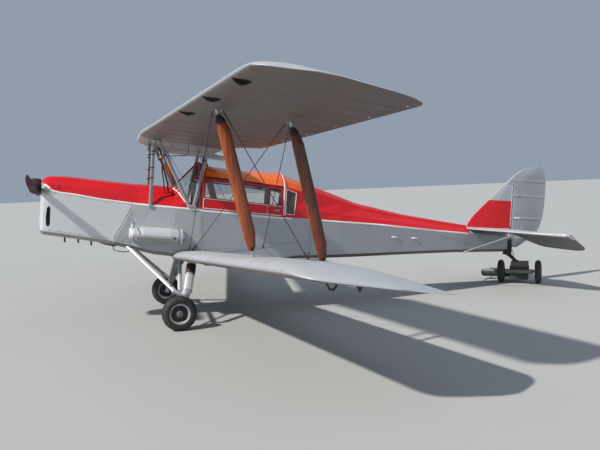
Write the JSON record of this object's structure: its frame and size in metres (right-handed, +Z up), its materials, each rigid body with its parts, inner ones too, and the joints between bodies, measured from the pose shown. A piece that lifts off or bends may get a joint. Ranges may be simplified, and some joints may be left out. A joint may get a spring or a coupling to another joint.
{
  "type": "cabin biplane",
  "caption": "Cabin biplane with swept wings, faired nose, wire-braced struts, fixed undercarriage and a tail skid that rests on a small wheeled dolly.",
  "frame": {"origin": "bottom centre of the bounding box, on the ground midway along the aircraft", "axes": "+X forward to the propeller, +Y to port across the span, +Z up; the airframe stands nose up on its wheels and dolly"},
  "size_m": [7.5604, 9.2, 2.5354],
  "materials": {
    "silver_fabric": "satin",
    "red_fabric": "gloss",
    "silver_plywood": "satin",
    "red_plywood": "gloss",
    "silver_metal": "satin",
    "red_metal": "gloss",
    "cast_engine": "matt",
    "firewall_steel": "brushed",
    "propeller_wood": "gloss",
    "strut_wood": "varnished",
    "strut_steel": "satin",
    "stay_steel": "drawn",
    "screen_clear": "clear",
    "roof_tint": "tinted",
    "panel_black": "matt",
    "seat_leather": "worn",
    "tyre_rubber": "matt",
    "exhaust_steel": "scorched",
    "skid_iron": "matt",
    "dolly_paint": "worn"
  },
  "bodies": {
    "airframe": {"cowl_top": "red_metal", "cowl_sides": "silver_metal", "oil_tank": "silver_metal", "gear_port": "silver_metal", "gear_starboard": "silver_metal", "engine_block": "cast_engine", "firewall": "firewall_steel", "front_fuselage": "silver_plywood", "scuttle_deck": "red_plywood", "cabin_frame": "red_plywood", "instrument_panel": "panel_black", "windscreen_port": "screen_clear", "windscreen_starboard": "screen_clear", "quarter_glass_port": "screen_clear", "quarter_glass_starboard": "screen_clear", "roof_panel_front": "roof_tint", "roof_panel_rear": "roof_tint", "rear_fuselage": "silver_fabric", "upper_wing_port": "silver_fabric", "upper_wing_starboard": "silver_fabric", "centre_section": "silver_fabric", "lower_wing_port": "silver_fabric", "lower_wing_starboard": "silver_fabric", "tailplane": "silver_fabric", "rear_decking": "red_fabric", "fin": "red_fabric", "front_seats": "seat_leather", "rear_seat": "seat_leather", "interplane_strut_front_port": "strut_wood", "interplane_strut_front_starboard": "strut_wood", "interplane_strut_rear_port": "strut_wood", "interplane_strut_rear_starboard": "strut_wood", "flying_wire_front_port": "stay_steel", "flying_wire_front_starboard": "stay_steel", "flying_wire_rear_port": "stay_steel", "flying_wire_rear_starboard": "stay_steel", "incidence_wire_port": "stay_steel", "incidence_wire_starboard": "stay_steel", "drag_wire_port": "stay_steel", "drag_wire_starboard": "stay_steel", "cabane_struts_port": "strut_steel", "cabane_struts_starboard": "strut_steel", "tailplane_strut_port": "strut_steel", "tailplane_strut_starboard": "strut_steel", "exhaust_pipe": "exhaust_steel", "tail_skid": "skid_iron", "dolly_frame": "dolly_paint"},
    "propeller_body": {"propeller": "propeller_wood"},
    "wheel_port_body": {"main_wheel_port": "tyre_rubber"},
    "wheel_starboard_body": {"main_wheel_starboard": "tyre_rubber"},
    "dolly_wheel_left_body": {"dolly_wheel_left": "tyre_rubber"},
    "dolly_wheel_right_body": {"dolly_wheel_right": "tyre_rubber"},
    "rudder_body": {"rudder": "silver_fabric"},
    "elevator_body": {"elevators": "silver_fabric"},
    "aileron_port_body": {"aileron_port": "silver_fabric"},
    "aileron_starboard_body": {"aileron_starboard": "silver_fabric"},
    "door_port_body": {"door_port": "red_plywood", "door_glass_port": "screen_clear"},
    "door_starboard_body": {"door_starboard": "red_plywood", "door_glass_starboard": "screen_clear"}
  },
  "joints": [
    {"name": "propeller_spin", "type": "hinge", "parent": "airframe", "child": "propeller_body", "pos_m": [3.68194, 0, 1.77677], "axis": [0.9956, 0, 0.0941], "continuous": true},
    {"name": "main_wheel_port_spin", "type": "hinge", "parent": "airframe", "child": "wheel_port_body", "pos_m": [2.10075, 0.946, 0.206], "axis": [0, 1, 0], "continuous": true},
    {"name": "main_wheel_starboard_spin", "type": "hinge", "parent": "airframe", "child": "wheel_starboard_body", "pos_m": [2.10075, -0.946, 0.206], "axis": [0, 1, 0], "continuous": true},
    {"name": "dolly_wheel_left_spin", "type": "hinge", "parent": "airframe", "child": "dolly_wheel_left_body", "pos_m": [-3.50584, 0.15602, 0.18], "axis": [0.7431, -0.6691, 0], "continuous": true},
    {"name": "dolly_wheel_right_spin", "type": "hinge", "parent": "airframe", "child": "dolly_wheel_right_body", "pos_m": [-3.09266, -0.21602, 0.18], "axis": [0.7431, -0.6691, 0], "continuous": true},
    {"name": "rudder_hinge", "type": "hinge", "parent": "airframe", "child": "rudder_body", "pos_m": [-3.1567, 0, 1.01482], "axis": [-0.0941, 0, 0.9956], "range_deg": [-25, 25]},
    {"name": "elevator_hinge", "type": "hinge", "parent": "airframe", "child": "elevator_body", "pos_m": [-3.01214, 0, 0.84567], "axis": [0, 1, 0], "range_deg": [0, 50]},
    {"name": "aileron_port_hinge", "type": "hinge", "parent": "airframe", "child": "aileron_port_body", "pos_m": [0.8593, 2.15, 0.74652], "axis": [-0.1215, 0.9909, 0.0581], "range_deg": [-15, 20]},
    {"name": "aileron_starboard_hinge", "type": "hinge", "parent": "airframe", "child": "aileron_starboard_body", "pos_m": [0.8593, -2.15, 0.74652], "axis": [0.1215, 0.9909, -0.0581], "range_deg": [-15, 20]},
    {"name": "door_port_hinge", "type": "hinge", "parent": "airframe", "child": "door_port_body", "pos_m": [1.67433, 0.4525, 1.79492], "axis": [0.9876, 0.0033, 0.1568], "range_deg": [0, 90]},
    {"name": "door_starboard_hinge", "type": "hinge", "parent": "airframe", "child": "door_starboard_body", "pos_m": [1.67433, -0.4525, 1.79492], "axis": [-0.9876, 0.0033, -0.1568], "range_deg": [0, 90]}
  ]
}
